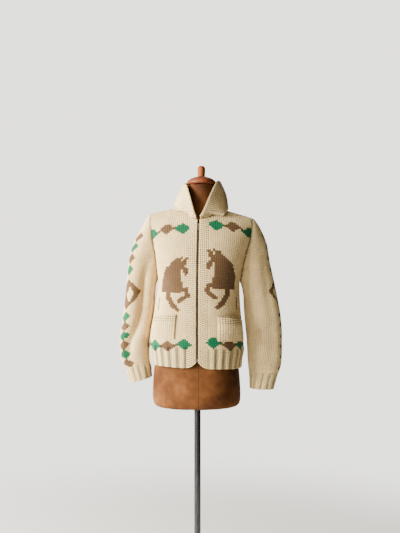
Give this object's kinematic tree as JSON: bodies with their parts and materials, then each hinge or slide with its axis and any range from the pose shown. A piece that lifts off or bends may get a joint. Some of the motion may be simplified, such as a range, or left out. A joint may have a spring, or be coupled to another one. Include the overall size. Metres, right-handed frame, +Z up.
{
  "type": "cowichan sweater on a dress form",
  "caption": "Heavy hand-knit zip-up cardigan with shawl collar, patch pockets and animal and diamond patterns, worn on a limbless dress form with a pole stand.",
  "frame": {"origin": "the middle of the round base's underside, under the pole, on the floor", "axes": "+Z up along the pole, the sweater's front and zip face -Y, +X is to the right of somebody who looks at the front"},
  "size_m": [0.6, 0.37, 1.551],
  "materials": {
    "cream_knit": "hand-knit stocking stitch in thick undyed wool, with green and brown figures",
    "band_knit": "garter stitch in the same wool",
    "collar_knit": "garter stitch in the same wool, doubled over at the roll",
    "pocket_knit": "stocking stitch patch with a garter welt",
    "zip_tape": "woven cotton tape",
    "zip_metal": "darkened antique brass",
    "form_canvas": "brown mottled canvas, stretched and aged",
    "cap_wood": "turned and stained reddish brown, satin",
    "finial_wood": "turned, varnished orange brown",
    "pole_steel": "dark steel tube",
    "base_iron": "black painted iron"
  },
  "bodies": {
    "root": {"back": "cream_knit", "front_left": "cream_knit", "front_right": "cream_knit", "band_left": "band_knit", "band_right": "band_knit", "sleeve_left": "cream_knit", "sleeve_right": "cream_knit", "collar": "collar_knit", "pocket_left": "pocket_knit", "pocket_right": "pocket_knit", "zip_tape_left": "zip_tape", "zip_tape_right": "zip_tape", "zip_chain": "zip_metal", "zip_box": "zip_metal", "zip_slider": "zip_metal", "form_torso": "form_canvas", "neck_cap": "cap_wood", "finial": "finial_wood", "pole": "pole_steel", "base": "base_iron"},
    "pull": {"zip_pull": "zip_metal"}
  },
  "joints": [
    {"name": "pull_swing", "type": "hinge", "parent": "root", "child": "pull", "pos_m": [0.00404, -0.1024, 1.33005], "axis": [-1, 0, 0], "range_deg": [0, 150]}
  ]
}
